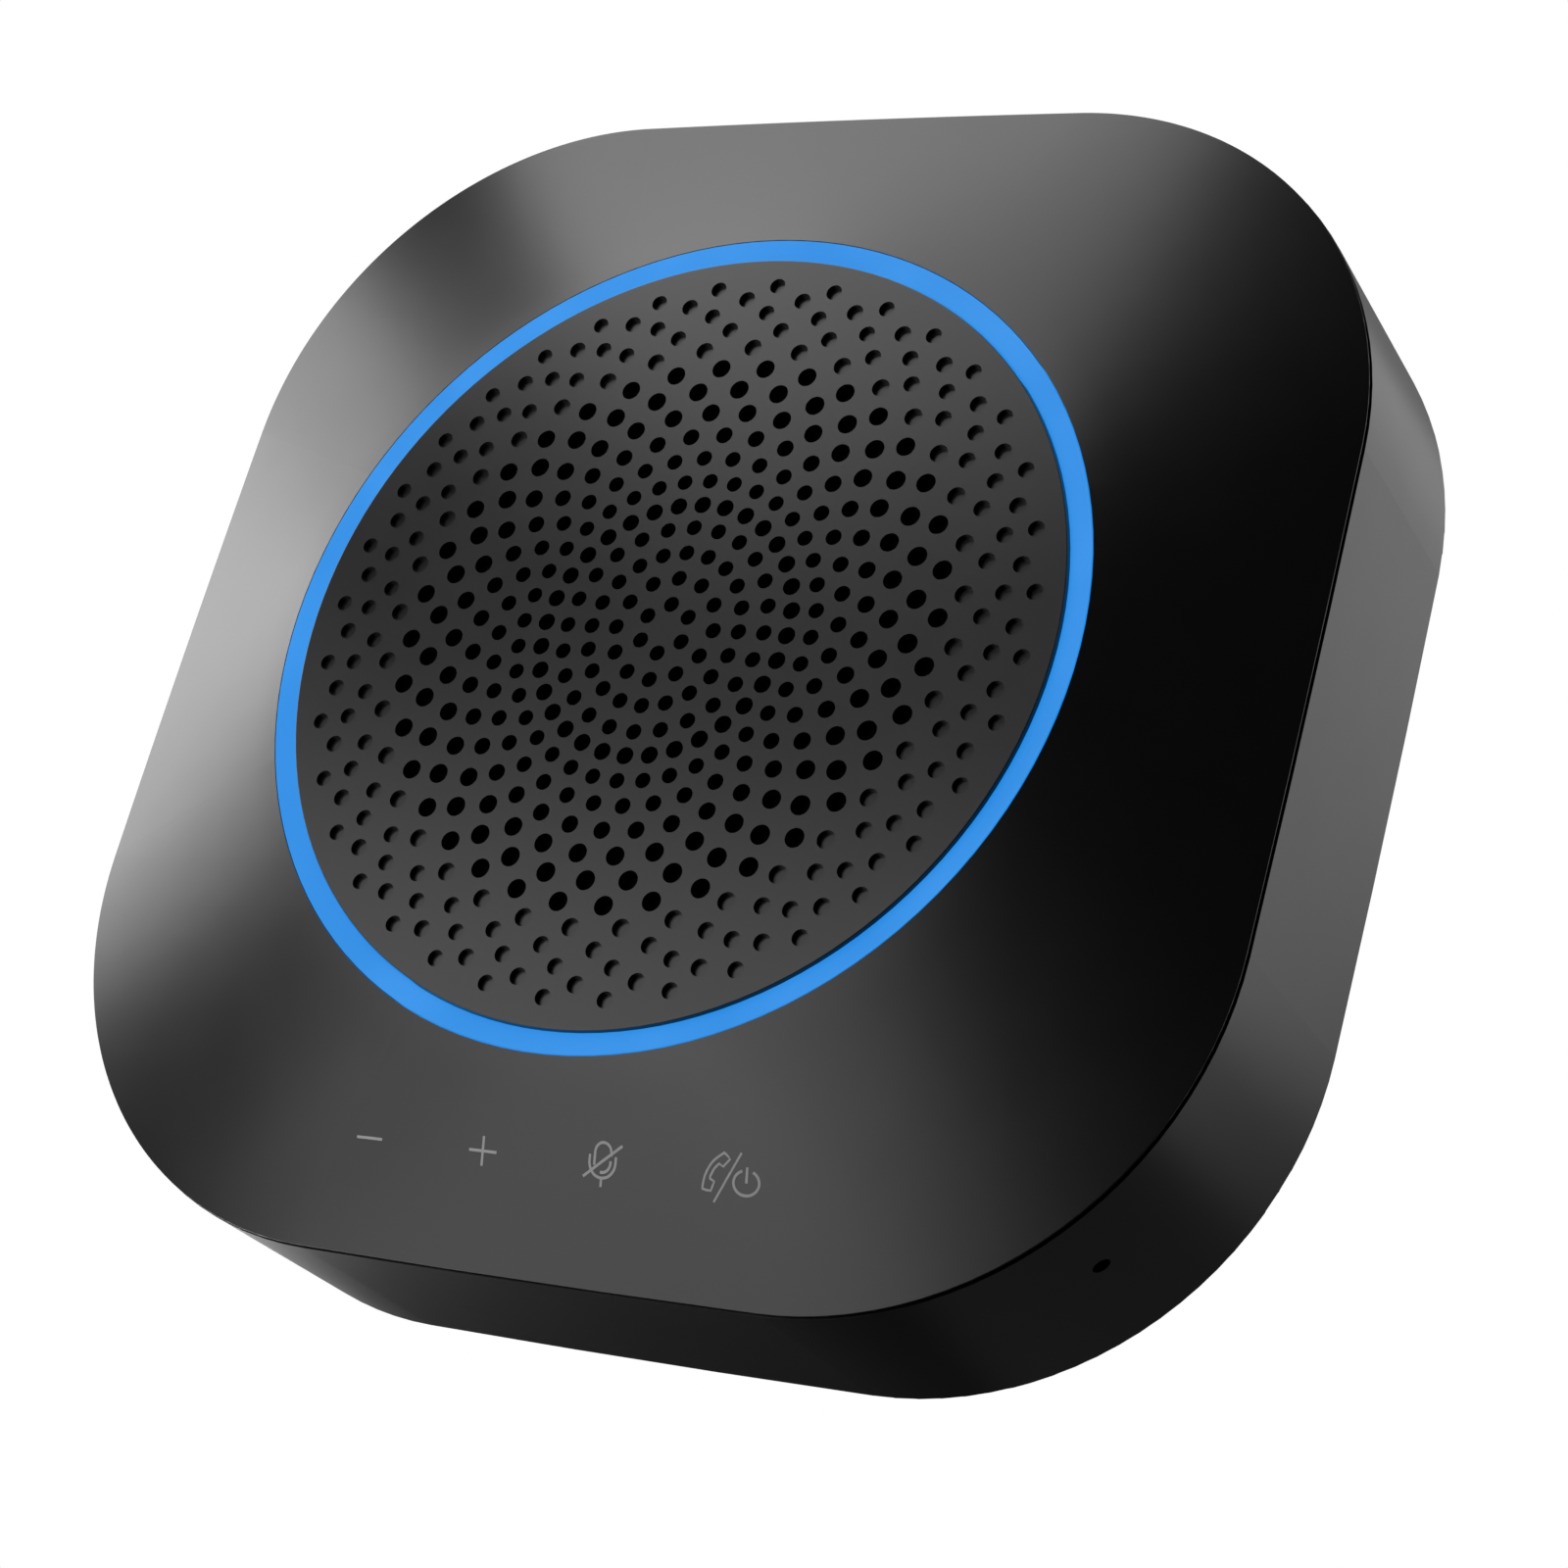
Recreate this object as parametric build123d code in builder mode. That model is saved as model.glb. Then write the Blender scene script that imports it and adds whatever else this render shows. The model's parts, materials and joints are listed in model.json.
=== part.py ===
from build123d import *

import math
import os

# Conference speakerphone: a rounded-square desk unit, with its speaker under a round grille.
#
# Millimetres. The origin is on the surface that the rubber feet stand on, under the middle of the
# grille. +Z is up, +X is to the right and -Y is the front, where the touch keys are. The cable
# socket is at the back, at +Y.

os.makedirs("parts", exist_ok=True)

# ---------------------------------------------------------------- driving dimensions

# Housing: a rounded square in plan, with vertical sides that bow out a little
CASE_W = 125.3
SIDE_R = 2000.0
CORNER_R = 38.0
WALL = 2.2
FEET_H = 1.0
FLOOR_T = 2.0
BOTTOM_FILLET = 0.65
CASE_TOP = 25.75
PARTING_GAP = 0.55
PARTING_STEP = 0.5
RIM_BAND = 0.1
COVER_INSET = 0.1
SLOPE_RISE = 7.34
COVER_T = 2.2

# Light ring and grille, both centred on Z
OPENING_R = 43.4
GUIDE_OUT_R = 43.3
GUIDE_IN_R = 41.08
GUIDE_DISH = 0.25
GRILLE_R = 40.95
GRILLE_T = 1.5
GRILLE_PROUD = 0.12
GRILLE_EDGE_R = 0.1
DIMPLE_DEPTH = 0.62
CLOTH_T = 0.2

# Grille rows: radius, how many, angle of the first, hole diameter
THROUGH_ROWS = [
    (2.6, 6, 30, 1.62),
    (5.4, 12, 0, 1.62),
    (8.15, 20, 0, 1.62),
    (10.9, 24, 0, 1.62),
    (13.4, 32, -0.8, 1.79),
    (16.0, 36, -0.9, 1.61),
    (18.55, 36, 3.65, 1.66),
    (21.1, 36, -0.8, 1.78),
    (23.65, 36, 4.75, 1.95),
    (26.2, 36, -1.0, 2.03),
    (28.65, 36, 4.55, 1.99),
]
DIMPLE_ROWS = [
    (30.95, 36, -1.1, 1.85),
    (33.05, 36, 4.5, 1.7),
    (34.9, 36, -1.6, 1.68),
    (36.5, 36, 2.7, 1.74),
    (38.0, 36, -2.0, 1.65),
]

# Case screws, under the feet, and the screws that hold the speaker box to the cover
CASE_SCREW_XY = 40.0
FOOT_R = 8.0
FOOT_RECESS = 0.8
BAFFLE_SCREW_R = 49.0
BAFFLE_SCREW_ANGLES = (30, 150, 210, 330)
CLEAR = 0.1

# Loudspeaker, facing up
BAFFLE_TOP = 26.4
BAFFLE_T = 2.0
FLANGE_R = 30.2
FLANGE_BOTTOM = 26.8
FLANGE_TOP = 27.8
COIL_R = 9.2
COIL_WALL = 0.2
WINDING_T = 0.5
CONE_R = 22.0
CONE_TOP = 28.1
CONE_T = 0.5
YOKE_BOTTOM = 10.5
YOKE_TOP = 17.2
YOKE_R = 13.0

# Speaker box under the baffle
BOX_R = 37.5
BOX_BOTTOM = 7.8
BOX_WALL = 1.6

# Main board, battery, socket and microphones
BOARD_BOTTOM = 4.2
BOARD_T = 1.2
BOARD_BACK = 58.6
SOCKET_SHELL = (8.94, 7.1, 3.16)
SOCKET_MOUTH_Y = 61.3
CELL_R = 9.1
CELL_L = 65.0
CELL_X = -50.0
CELL_Z = 12.3
MIC_Z = 16.6
MIC_HOLE_R = 0.9
MIC_BOARD = (12.0, 0.8, 8.0)
CORNER_ANGLES = {"back_right": 45, "back_left": 135, "front_left": 225, "front_right": 315}

# Edge radius of chips and plugs
BLOCK_EDGE_R = 0.2

# Touch keys on the front slope
TOUCH_BOARD = (46.0, 10.0, 1.0)
TOUCH_KEY_XS = (-17.7, -4.9, 7.9, 20.7)
TOUCH_Y = -52.1
TOUCH_PAD_R = 2.0

# ---------------------------------------------------------------- derived heights and radii

COVER_BOTTOM = CASE_TOP + PARTING_GAP
RIM_TOP = COVER_BOTTOM + RIM_BAND
CROWN_Z = RIM_TOP + SLOPE_RISE
GRILLE_TOP = CROWN_Z + GRILLE_PROUD
GRILLE_BOTTOM = GRILLE_TOP - GRILLE_T
CASE_BOTTOM = FEET_H
FLOOR_TOP = CASE_BOTTOM + FLOOR_T
INNER_W = CASE_W - 2 * WALL
INNER_CORNER_R = CORNER_R - WALL
CORNER_CENTRE = CASE_W / 2 - CORNER_R
INNER_REACH = CORNER_CENTRE * math.sqrt(2) + INNER_CORNER_R
SLOPE_RUN = CASE_W / 2 - OPENING_R
SLOPE_ANGLE = math.degrees(math.atan2(SLOPE_RISE, SLOPE_RUN))
BOARD_TOP = BOARD_BOTTOM + BOARD_T
BAFFLE_BOTTOM = BAFFLE_TOP - BAFFLE_T
LED_BOARD_TOP = BAFFLE_TOP + 1.0
COIL_OUT_R = COIL_R + COIL_WALL

# The share of a quarter turn that faces a straight side, seen along the outline's length
SIDE_HALF_ANGLE = 45 * 2 * CORNER_CENTRE / (2 * CORNER_CENTRE + math.pi / 2 * CORNER_R)

SCREW_XYS = (-CASE_SCREW_XY, CASE_SCREW_XY)
SCREW_SPOTS = [(x, y) for x in SCREW_XYS for y in SCREW_XYS]
BOARD_SCREW_SPOTS = [(-28.0, -44.0), (28.0, -44.0), (-28.0, 52.0), (28.0, 52.0)]


# ---------------------------------------------------------------- helpers

def save(piece, name):
    """Labels a finished piece and writes it as its own STEP file."""
    piece.part.label = name
    export_step(piece.part, f"parts/{name}.step")


def square_outline(width, corner_r):
    """A square with bowed sides and round corners: eight edges, in circle_outline's order."""
    set_back = SIDE_R - width / 2
    centre = (math.sqrt(2 * (SIDE_R - corner_r) ** 2 - set_back**2) - set_back) / 2
    lean = math.degrees(math.atan2(centre, centre + set_back))
    for quarter in range(4):
        turn = 90 * quarter
        CenterArc(Vector(-set_back, 0).rotate(Axis.Z, turn), SIDE_R, turn - lean, 2 * lean)
        corner = Vector(centre, centre).rotate(Axis.Z, turn)
        CenterArc(corner, corner_r, turn + lean, 90 - 2 * lean)


def circle_outline(radius):
    """A circle split where the rounded square passes from side to corner."""
    for quarter in range(4):
        turn = 90 * quarter
        CenterArc((0, 0), radius, turn - SIDE_HALF_ANGLE, 2 * SIDE_HALF_ANGLE)
        CenterArc((0, 0), radius, turn + SIDE_HALF_ANGLE, 90 - 2 * SIDE_HALF_ANGLE)


def dome(width, corner_r, low_z, radius, high_z):
    """The volume whose straight sloping lines run from a rounded square up to a circle."""
    with BuildPart() as volume:
        with BuildSketch(Plane.XY.offset(low_z)):
            with BuildLine():
                square_outline(width, corner_r)
            make_face()
        with BuildSketch(Plane.XY.offset(high_z)):
            with BuildLine():
                circle_outline(radius)
            make_face()
        loft(ruled=True)
    return volume


def ring(outer_r, inner_r, low_z, high_z):
    """A flat or tall ring about Z."""
    with BuildPart() as piece:
        with BuildSketch(Plane.XY.offset(low_z)):
            Circle(outer_r)
            Circle(inner_r, mode=Mode.SUBTRACT)
        extrude(amount=high_z - low_z)
    return piece


def turned(points):
    """A solid of revolution about Z, from its half section as (radius, height) points."""
    with BuildPart() as piece:
        with BuildSketch(Plane.XZ):
            with BuildLine():
                Polyline(*points, close=True)
            make_face()
        revolve(axis=Axis.Z)
    return piece


def block(size, centre):
    """A rounded block standing on centre's height, such as a chip or a connector."""
    with BuildPart() as piece:
        with BuildSketch(Plane.XY.offset(centre[2])):
            with Locations((centre[0], centre[1])):
                RectangleRounded(size[0], size[1], BLOCK_EDGE_R)
        extrude(amount=size[2])
    return piece


def wire(points, radius, bend):
    """A round wire along straight runs joined by arcs."""
    with BuildPart() as piece:
        with BuildLine() as route:
            FilletPolyline(*points, radius=bend)
        with BuildSketch(Plane(origin=route.wire() @ 0, z_dir=route.wire() % 0)):
            Circle(radius)
        sweep()
    return piece


def ribbon(points, x_centre, width, thickness, bend):
    """A flat flexible cable, as (y, z) points across its thickness and its width along X."""
    with BuildPart() as piece:
        with BuildSketch(Plane.YZ.offset(x_centre - width / 2)):
            with BuildLine() as route:
                FilletPolyline(*points, radius=bend)
            trace(route.edges(), thickness)
        extrude(amount=width)
    return piece


def corner_plane(angle, reach, z=0.0):
    """A plane across a corner's diagonal: its X runs round the case, its Z points outward."""
    outward = Vector(math.cos(math.radians(angle)), math.sin(math.radians(angle)), 0)
    around = Vector(-outward.Y, outward.X, 0)
    return Plane(origin=outward * reach + Vector(0, 0, z), x_dir=around, z_dir=outward)


def joined(pieces):
    """Separate identical solids kept in one part."""
    with BuildPart() as group:
        for piece in pieces:
            add(piece.part)
    return group


# ---------------------------------------------------------------- housing

# The cavity under the cover's slopes also trims whatever is pressed up against them
CAVITY_INSET = 4.7
CAVITY_R = OPENING_R + 1.1
cover_cavity = dome(
    CASE_W - 2 * CAVITY_INSET,
    CORNER_R - CAVITY_INSET,
    COVER_BOTTOM,
    CAVITY_R,
    CROWN_Z - COVER_T - 0.45,
)

BORE_WALL = 1.6
BORE_FOOT_Z = 29.6
BAFFLE_BOSS_R = 3.0
BAFFLE_BOSS_TOP = 30.2
COVER_BOSS_R = 3.5
COVER_BOSS_BOTTOM = 12.2
COVER_BOSS_TOP = 29.0
PILOT_R = 1.3
PILOT_TOP = 20.0
LIP_OUT = 2.4
LIP_T = 1.2
LIP_DEPTH = 2.5
LIP_W = CASE_W - 2 * LIP_OUT
BAFFLE_PILOT_R = 1.0
BAFFLE_PILOT_ROOF = 0.6
RIM_EDGE_R = 0.06
COVER_W = CASE_W - 2 * COVER_INSET
COVER_CORNER_R = CORNER_R - COVER_INSET

with BuildPart() as top_cover:
    with BuildSketch(Plane.XY.offset(COVER_BOTTOM)):
        with BuildLine():
            square_outline(COVER_W, COVER_CORNER_R)
        make_face()
    extrude(amount=RIM_BAND)
    add(dome(COVER_W, COVER_CORNER_R, RIM_TOP, OPENING_R, CROWN_Z).part)
    add(cover_cavity.part, mode=Mode.SUBTRACT)
    with BuildSketch(Plane.XY.offset(COVER_BOTTOM - LIP_DEPTH)):
        RectangleRounded(LIP_W, LIP_W, CORNER_R - LIP_OUT)
        lip_inner_w = LIP_W - 2 * LIP_T
        RectangleRounded(lip_inner_w, lip_inner_w, CORNER_R - LIP_OUT - LIP_T, mode=Mode.SUBTRACT)
    extrude(amount=LIP_DEPTH)
    with BuildSketch(Plane.XY.offset(BORE_FOOT_Z)):
        Circle(OPENING_R + BORE_WALL)
    extrude(amount=CROWN_Z - SLOPE_RISE / 4 - BORE_FOOT_Z)
    with BuildSketch(Plane.XY.offset(BAFFLE_TOP)):
        with PolarLocations(BAFFLE_SCREW_R, 2, start_angle=30, angular_range=120, endpoint=True):
            Circle(BAFFLE_BOSS_R)
        with PolarLocations(BAFFLE_SCREW_R, 2, start_angle=210, angular_range=120, endpoint=True):
            Circle(BAFFLE_BOSS_R)
    extrude(amount=BAFFLE_BOSS_TOP - BAFFLE_TOP)
    with BuildSketch(Plane.XY.offset(COVER_BOSS_BOTTOM)):
        with Locations(*SCREW_SPOTS):
            Circle(COVER_BOSS_R)
    extrude(amount=COVER_BOSS_TOP - COVER_BOSS_BOTTOM)
    with BuildSketch(Plane.XY.offset(BORE_FOOT_Z - 1)):
        Circle(OPENING_R)
    extrude(amount=CROWN_Z - BORE_FOOT_Z + 2, mode=Mode.SUBTRACT)
    with BuildSketch(Plane.XY.offset(COVER_BOSS_BOTTOM)):
        with Locations(*SCREW_SPOTS):
            Circle(PILOT_R)
    extrude(amount=PILOT_TOP - COVER_BOSS_BOTTOM, mode=Mode.SUBTRACT)
    with BuildSketch(Plane.XY.offset(BAFFLE_TOP)):
        with PolarLocations(BAFFLE_SCREW_R, 2, start_angle=30, angular_range=120, endpoint=True):
            Circle(BAFFLE_PILOT_R)
        with PolarLocations(BAFFLE_SCREW_R, 2, start_angle=210, angular_range=120, endpoint=True):
            Circle(BAFFLE_PILOT_R)
    extrude(amount=BAFFLE_BOSS_TOP - BAFFLE_TOP - BAFFLE_PILOT_ROOF, mode=Mode.SUBTRACT)
    rim_edges = [
        edge
        for edge in top_cover.edges()
        if abs((edge @ 0).Z - RIM_TOP) < 0.01 and abs((edge @ 1).Z - RIM_TOP) < 0.01
    ]
    fillet(rim_edges, RIM_EDGE_R)
save(top_cover, "top_cover")

CASE_BOSS_R = 4.2
CASE_BOSS_TOP = 12.0
HEAD_SINK = 2.6
HEAD_SINK_TOP = 4.0
SCREW_HOLE_R = 1.5
STANDOFF_R = 3.0
SOCKET_Z = BOARD_TOP + SOCKET_SHELL[2] / 2
SOCKET_SLOT = (9.3, 3.5)
PLUG_RECESS = (13.0, 7.2)
PLUG_RECESS_DEPTH = 1.0
MIC_RIB_T = 1.2
MIC_RIB_H = 12.0
MIC_RIB_IN = 65.5
MIC_RIB_AT = (MIC_BOARD[0] + MIC_RIB_T) / 2 + CLEAR
CRADLE = (15.6, 2.0, 6.0)
CRADLE_Y = 20.0
BOARD_PILOT_R = 1.0

with BuildPart() as bottom_case:
    with BuildSketch(Plane.XY.offset(CASE_BOTTOM)):
        with BuildLine():
            square_outline(CASE_W, CORNER_R)
        make_face()
    extrude(amount=CASE_TOP - CASE_BOTTOM)
    fillet(bottom_case.faces().sort_by(Axis.Z)[0].edges(), BOTTOM_FILLET)
    with BuildSketch(Plane.XY.offset(CASE_TOP)):
        with BuildLine():
            square_outline(CASE_W - 2 * PARTING_STEP, CORNER_R - PARTING_STEP)
        make_face()
    extrude(amount=PARTING_GAP)
    with BuildSketch(Plane.XY.offset(FLOOR_TOP)):
        RectangleRounded(INNER_W, INNER_W, INNER_CORNER_R)
    extrude(amount=COVER_BOTTOM - FLOOR_TOP, mode=Mode.SUBTRACT)
    with BuildSketch(Plane.XY.offset(FLOOR_TOP)):
        with Locations(*SCREW_SPOTS):
            Circle(CASE_BOSS_R)
    extrude(amount=CASE_BOSS_TOP - FLOOR_TOP)
    with BuildSketch(Plane.XY.offset(FLOOR_TOP)):
        with Locations(*BOARD_SCREW_SPOTS):
            Circle(STANDOFF_R)
    extrude(amount=BOARD_BOTTOM - FLOOR_TOP)
    with BuildSketch(Plane.XY.offset(FLOOR_TOP)):
        with Locations((CELL_X, -CRADLE_Y), (CELL_X, CRADLE_Y)):
            Rectangle(CRADLE[0], CRADLE[1])
    extrude(amount=CRADLE[2])
    with BuildSketch(Plane.XZ.offset(-CELL_L / 2)):
        with Locations((CELL_X, CELL_Z)):
            Circle(CELL_R + CLEAR)
    extrude(amount=CELL_L, mode=Mode.SUBTRACT)
    for angle in CORNER_ANGLES.values():
        with BuildSketch(corner_plane(angle, MIC_RIB_IN, MIC_Z)):
            with Locations((-MIC_RIB_AT, 0), (MIC_RIB_AT, 0)):
                Rectangle(MIC_RIB_T, MIC_RIB_H)
        extrude(amount=INNER_REACH - MIC_RIB_IN + 0.2)
        with BuildSketch(corner_plane(angle, INNER_REACH - 2, MIC_Z)):
            Circle(MIC_HOLE_R)
        extrude(amount=WALL + 4, mode=Mode.SUBTRACT)
    with BuildSketch(Plane.XY.offset(CASE_BOTTOM)):
        with Locations(*SCREW_SPOTS):
            Circle(FOOT_R + CLEAR)
    extrude(amount=FOOT_RECESS, mode=Mode.SUBTRACT)
    with BuildSketch(Plane.XY.offset(CASE_BOTTOM)):
        with Locations(*SCREW_SPOTS):
            Circle(SCREW_HOLE_R)
    extrude(amount=CASE_BOSS_TOP, mode=Mode.SUBTRACT)
    with BuildSketch(Plane.XY.offset(CASE_BOTTOM)):
        with Locations(*SCREW_SPOTS):
            Circle(HEAD_SINK)
    extrude(amount=HEAD_SINK_TOP - CASE_BOTTOM, mode=Mode.SUBTRACT)
    with BuildSketch(Plane.XY.offset(FLOOR_TOP - 1)):
        with Locations(*BOARD_SCREW_SPOTS):
            Circle(BOARD_PILOT_R)
    extrude(amount=BOARD_BOTTOM, mode=Mode.SUBTRACT)
    with BuildSketch(Plane.XZ.offset(-CASE_W / 2)):
        with Locations((0, SOCKET_Z)):
            RectangleRounded(PLUG_RECESS[0], PLUG_RECESS[1], PLUG_RECESS[1] / 2 - 0.1)
    extrude(amount=PLUG_RECESS_DEPTH, mode=Mode.SUBTRACT)
    with BuildSketch(Plane.XZ.offset(-CASE_W / 2)):
        with Locations((0, SOCKET_Z)):
            RectangleRounded(SOCKET_SLOT[0], SOCKET_SLOT[1], SOCKET_SLOT[1] / 2 - 0.1)
    extrude(amount=WALL + 1, mode=Mode.SUBTRACT)
save(bottom_case, "bottom_case")

for place, angle in CORNER_ANGLES.items():
    foot_spot = Vector(CASE_SCREW_XY * math.sqrt(2), 0).rotate(Axis.Z, angle)
    with BuildPart() as rubber_foot:
        with BuildSketch(Plane.XY):
            with Locations(foot_spot):
                Circle(FOOT_R)
        extrude(amount=FEET_H + FOOT_RECESS)
        fillet(rubber_foot.faces().sort_by(Axis.Z)[0].edges(), 0.4)
    save(rubber_foot, f"rubber_foot_{place}")


def pan_screw(x, y, head_z, head_r, head_t, shank_r, shank_l, up=1):
    """A cross-recess screw whose head stands at head_z and whose shank goes up or down."""
    with BuildPart() as screw:
        with BuildSketch(Plane.XY.offset(head_z)):
            with Locations((x, y)):
                Circle(head_r)
        extrude(amount=-up * head_t)
        with BuildSketch(Plane.XY.offset(head_z)):
            with Locations((x, y)):
                Circle(shank_r)
        extrude(amount=up * shank_l)
        with BuildSketch(Plane.XY.offset(head_z - up * head_t)):
            with Locations((x, y)):
                Rectangle(head_r * 1.1, head_r * 0.26)
                Rectangle(head_r * 0.26, head_r * 1.1)
        extrude(amount=up * head_t * 0.55, mode=Mode.SUBTRACT)
    return screw


case_screws = [pan_screw(x, y, HEAD_SINK_TOP, 2.3, 1.6, 1.25, 14.0) for x, y in SCREW_SPOTS]
save(joined(case_screws), "case_screws")

# ---------------------------------------------------------------- grille and light ring

SKIRT_T = 1.4
with BuildPart() as speaker_grille:
    with BuildSketch(Plane.XY.offset(GRILLE_BOTTOM)):
        Circle(GRILLE_R)
    extrude(amount=GRILLE_T)
    with BuildSketch(Plane.XY.offset(LED_BOARD_TOP)):
        Circle(GRILLE_R)
        Circle(GRILLE_R - SKIRT_T, mode=Mode.SUBTRACT)
    extrude(amount=GRILLE_BOTTOM - LED_BOARD_TOP)
    fillet(speaker_grille.edges().group_by(Axis.Z)[-1], GRILLE_EDGE_R)
    with BuildSketch(Plane.XY.offset(GRILLE_TOP)):
        for radius, count, first, diameter in THROUGH_ROWS:
            with PolarLocations(radius, count, start_angle=first):
                Circle(diameter / 2)
    extrude(amount=-GRILLE_T, mode=Mode.SUBTRACT)
    with BuildSketch(Plane.XY.offset(GRILLE_TOP)):
        for radius, count, first, diameter in DIMPLE_ROWS:
            with PolarLocations(radius, count, start_angle=first):
                Circle(diameter / 2)
    extrude(amount=-DIMPLE_DEPTH, mode=Mode.SUBTRACT)
save(speaker_grille, "speaker_grille")

with BuildPart() as grille_cloth:
    with BuildSketch(Plane.XY.offset(GRILLE_BOTTOM - CLOTH_T)):
        Circle(GRILLE_R - SKIRT_T - 0.2)
    extrude(amount=CLOTH_T)
save(grille_cloth, "grille_cloth")

GUIDE_FOOT_Z = 28.3
GUIDE_FOOT_T = 1.1
GUIDE_FOOT_R = 44.8
light_guide_ring = turned([
    (GUIDE_IN_R, GUIDE_FOOT_Z),
    (GUIDE_FOOT_R, GUIDE_FOOT_Z),
    (GUIDE_FOOT_R, GUIDE_FOOT_Z + GUIDE_FOOT_T),
    (GUIDE_OUT_R, GUIDE_FOOT_Z + GUIDE_FOOT_T),
    (GUIDE_OUT_R, CROWN_Z),
    (GUIDE_IN_R, CROWN_Z - GUIDE_DISH),
])
save(light_guide_ring, "light_guide_ring")

LED_COUNT = 24
LED_R = 42.2
LED_SIZE = (1.6, 1.6, 0.6)
LED_BOARD_OUT_R = 45.5
LED_BOARD_IN_R = 38.5
TAB = (9.0, 8.0)
TAB_X = 12.0
TAB_Y = 45.0
with BuildPart() as led_board:
    with BuildSketch(Plane.XY.offset(BAFFLE_TOP)):
        Circle(LED_BOARD_OUT_R)
        with Locations((TAB_X, TAB_Y)):
            Rectangle(TAB[0], TAB[1])
        Circle(LED_BOARD_IN_R, mode=Mode.SUBTRACT)
    extrude(amount=LED_BOARD_TOP - BAFFLE_TOP)
save(led_board, "led_board")

with BuildPart() as ring_leds:
    with BuildSketch(Plane.XY.offset(LED_BOARD_TOP)):
        with PolarLocations(LED_R, LED_COUNT):
            Rectangle(LED_SIZE[0], LED_SIZE[1])
    extrude(amount=LED_SIZE[2])
save(ring_leds, "ring_leds")

# ---------------------------------------------------------------- speaker box

BAFFLE_R = 46.0
BAFFLE_OPENING_R = 28.0
EAR_R = 4.0
EAR_HOLE_R = 1.2
BOX_EDGE_R = 1.2
TERMINAL_Z = YOKE_TOP - 0.7
GROMMET_R = 2.5
GROMMET_GAP = 0.05
FRAME_SCREW_R = 29.1
FRAME_SCREW_HOLE_R = 0.5
with BuildPart() as speaker_baffle:
    with BuildSketch(Plane.XY.offset(BAFFLE_BOTTOM)):
        Circle(BAFFLE_R)
        for angle in BAFFLE_SCREW_ANGLES:
            with PolarLocations(BAFFLE_SCREW_R, 1, start_angle=angle):
                Circle(EAR_R)
            with PolarLocations(BAFFLE_SCREW_R - EAR_R, 1, start_angle=angle):
                Rectangle(2 * EAR_R, 2 * EAR_R)
        Circle(BAFFLE_OPENING_R, mode=Mode.SUBTRACT)
        for angle in BAFFLE_SCREW_ANGLES:
            with PolarLocations(BAFFLE_SCREW_R, 1, start_angle=angle):
                Circle(EAR_HOLE_R, mode=Mode.SUBTRACT)
        with PolarLocations(FRAME_SCREW_R, 4, start_angle=45):
            Circle(FRAME_SCREW_HOLE_R, mode=Mode.SUBTRACT)
    extrude(amount=BAFFLE_T)
save(speaker_baffle, "speaker_baffle")

save(
    joined([
        pan_screw(
            BAFFLE_SCREW_R * math.cos(math.radians(angle)),
            BAFFLE_SCREW_R * math.sin(math.radians(angle)),
            BAFFLE_BOTTOM, 1.9, 1.2, 0.95, 5.0,
        )
        for angle in BAFFLE_SCREW_ANGLES
    ]),
    "baffle_screws",
)

with BuildPart() as speaker_box:
    with BuildSketch(Plane.XY.offset(BOX_BOTTOM)):
        Circle(BOX_R)
    extrude(amount=BAFFLE_BOTTOM - BOX_BOTTOM)
    fillet(speaker_box.faces().sort_by(Axis.Z)[0].edges(), BOX_EDGE_R)
    with BuildSketch(Plane.XY.offset(BOX_BOTTOM + BOX_WALL)):
        Circle(BOX_R - BOX_WALL)
    extrude(amount=BAFFLE_BOTTOM - BOX_BOTTOM, mode=Mode.SUBTRACT)
    with BuildSketch(Plane.XZ.offset(-BOX_R - 1)):
        with Locations((0, TERMINAL_Z)):
            Circle(GROMMET_R + GROMMET_GAP)
    extrude(amount=BOX_WALL + 3, mode=Mode.SUBTRACT)
save(speaker_box, "speaker_box")

LEAD_X = 1.5
LEAD_R = 0.5
with BuildPart() as lead_grommet:
    with BuildSketch(Plane.XZ.offset(-BOX_R + BOX_WALL + 0.4)):
        with Locations((0, TERMINAL_Z)):
            Circle(GROMMET_R)
    extrude(amount=-BOX_WALL - 1.6)
    with BuildSketch(Plane.XZ.offset(-BOX_R - 3)):
        with Locations((-LEAD_X, TERMINAL_Z), (LEAD_X, TERMINAL_Z)):
            Circle(LEAD_R + GROMMET_GAP)
    extrude(amount=8, mode=Mode.SUBTRACT)
save(lead_grommet, "lead_grommet")

with BuildPart() as driver_gasket:
    with BuildSketch(Plane.XY.offset(BAFFLE_TOP)):
        Circle(FLANGE_R - 0.3)
        Circle(BAFFLE_OPENING_R, mode=Mode.SUBTRACT)
        with PolarLocations(FRAME_SCREW_R, 4, start_angle=45):
            Circle(FRAME_SCREW_HOLE_R, mode=Mode.SUBTRACT)
    extrude(amount=FLANGE_BOTTOM - BAFFLE_TOP)
save(driver_gasket, "driver_gasket")

# ---------------------------------------------------------------- loudspeaker driver

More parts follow.
